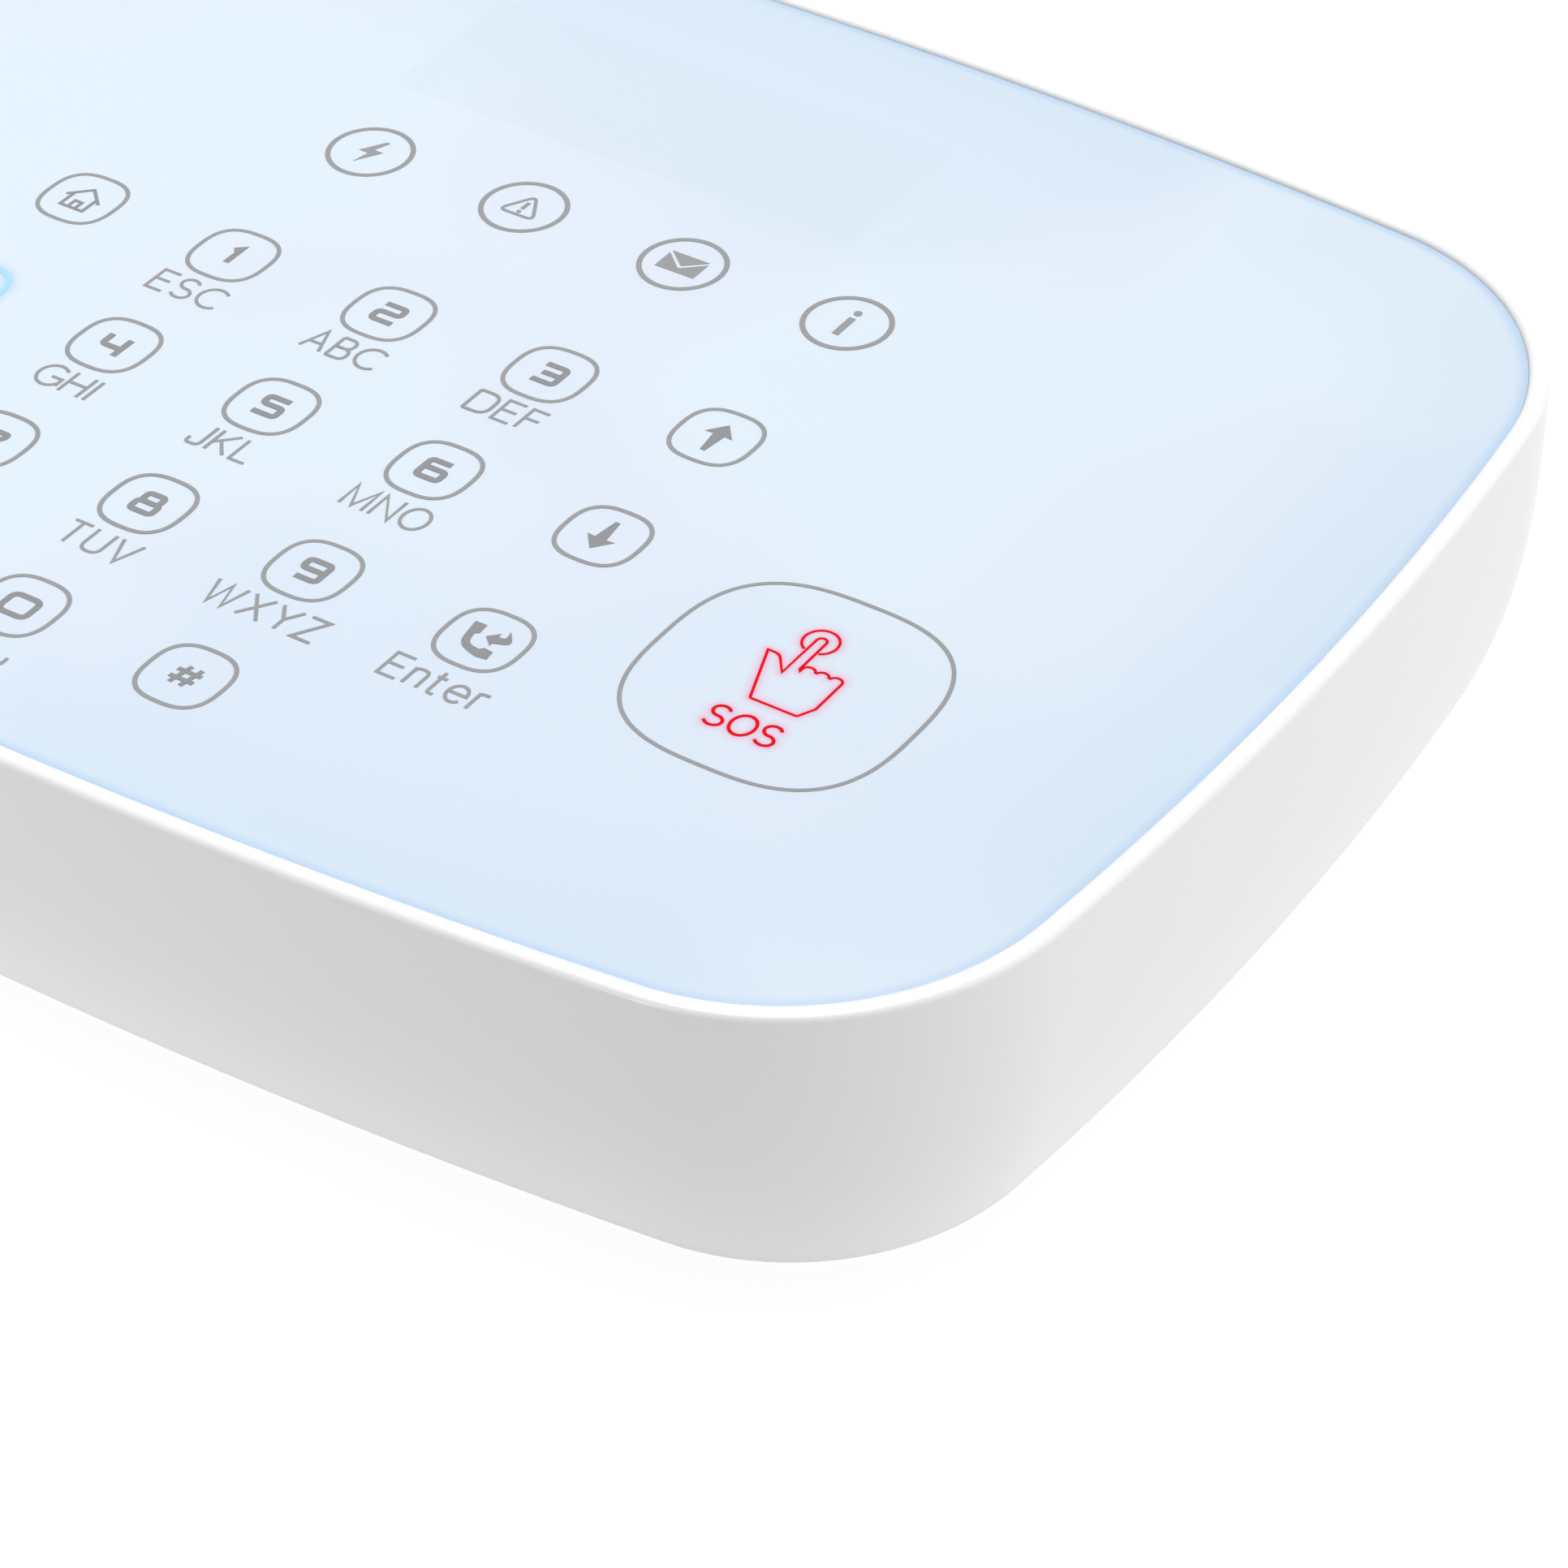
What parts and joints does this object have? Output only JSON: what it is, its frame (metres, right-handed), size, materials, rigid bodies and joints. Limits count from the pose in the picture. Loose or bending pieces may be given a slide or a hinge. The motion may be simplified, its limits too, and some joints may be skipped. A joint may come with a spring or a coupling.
{
  "type": "alarm keypad panel",
  "caption": "Alarm keypad panel with a flat touch face in a bowed white skirt, side sockets, a rear battery door and a slide-off steel wall bracket.",
  "frame": {"origin": "centre of the outline, on the plane that meets the wall (the back of the steel bracket and the edge of the skirt)", "axes": "+X to the right of the face, +Y to the top of the panel, +Z out of the touch face"},
  "size_m": [0.188, 0.1324, 0.0295],
  "materials": {
    "white_shell": "fine satin moulded ABS",
    "face_acrylic": "back-lit acrylic with a pale blue tint",
    "black_tape": "matt foam tape",
    "white_film": "printed diffusing film",
    "clear_guide": "clear acrylic with a dotted back",
    "led_body": "small moulded lamps",
    "led_red": "red lamp",
    "copper": "plated copper",
    "board_green": "solder mask",
    "chip_black": "moulded epoxy",
    "black_plastic": "satin nylon",
    "display_glass": "dark display glass",
    "amber_flex": "polyimide film",
    "bright_steel": "zinc-plated steel",
    "tin_can": "tinned shield",
    "gold_plate": "gold flash",
    "brass_post": "turned brass",
    "grey_cover": "fine textured ABS",
    "foam": "closed-cell foam",
    "magnet": "nickel-coated magnet",
    "cone_paper": "treated cone",
    "cell_wrap": "foil pouch",
    "spring_wire": "music wire"
  },
  "bodies": {
    "panel": {"front_housing": "white_shell", "face_lens": "face_acrylic", "lens_tape": "black_tape", "legend_film": "white_film", "light_guide": "clear_guide", "edge_leds": "led_body", "alarm_led": "led_red", "touch_pads": "copper", "tag_coil": "copper", "display_module": "display_glass", "display_frame": "white_shell", "display_flex": "amber_flex", "touch_board": "board_green", "touch_chips": "chip_black", "board_spacers": "brass_post", "board_link": "black_plastic", "main_board": "board_green", "main_chips": "chip_black", "main_board_screws": "bright_steel", "modem_can": "tin_can", "radio_can": "tin_can", "radio_antenna": "copper", "phone_antenna": "amber_flex", "power_socket": "black_plastic", "siren_socket": "black_plastic", "microphone": "tin_can", "switch_body": "tin_can", "sim_holder": "tin_can", "rear_cover": "grey_cover", "rear_screws": "bright_steel", "speaker_gasket": "foam", "speaker_frame": "tin_can", "speaker_magnet": "magnet", "speaker_cone": "cone_paper", "cell_pack": "cell_wrap", "cell_contacts": "gold_plate", "tamper_spring": "spring_wire", "tamper_switch": "black_plastic"},
    "bracket": {"wall_bracket": "bright_steel"},
    "door": {"battery_door": "grey_cover"},
    "plunger": {"tamper_plunger": "white_shell"},
    "knob": {"switch_knob": "black_plastic"},
    "tray": {"sim_tray": "white_shell", "sim_card": "gold_plate"}
  },
  "joints": [
    {"name": "bracket_slide", "type": "slide", "parent": "panel", "child": "bracket", "axis": [0, -1, 0], "range_m": [0, 0.008]},
    {"name": "door_hinge", "type": "hinge", "parent": "panel", "child": "door", "pos_m": [0, -0.05535, 0.0035], "axis": [-1, 0, 0], "range_deg": [0, 100]},
    {"name": "tamper_press", "type": "slide", "parent": "panel", "child": "plunger", "axis": [0, 0, 1], "range_m": [-0.0015, 0.0005], "stiffness_N_per_m": 200, "springref_m": -0.004, "deforming": ["tamper_spring"]},
    {"name": "switch_slide", "type": "slide", "parent": "panel", "child": "knob", "axis": [0, 1, 0], "range_m": [0, 0.0025]},
    {"name": "tray_slide", "type": "slide", "parent": "panel", "child": "tray", "axis": [-1, 0, 0], "range_m": [0, 0.02]}
  ]
}
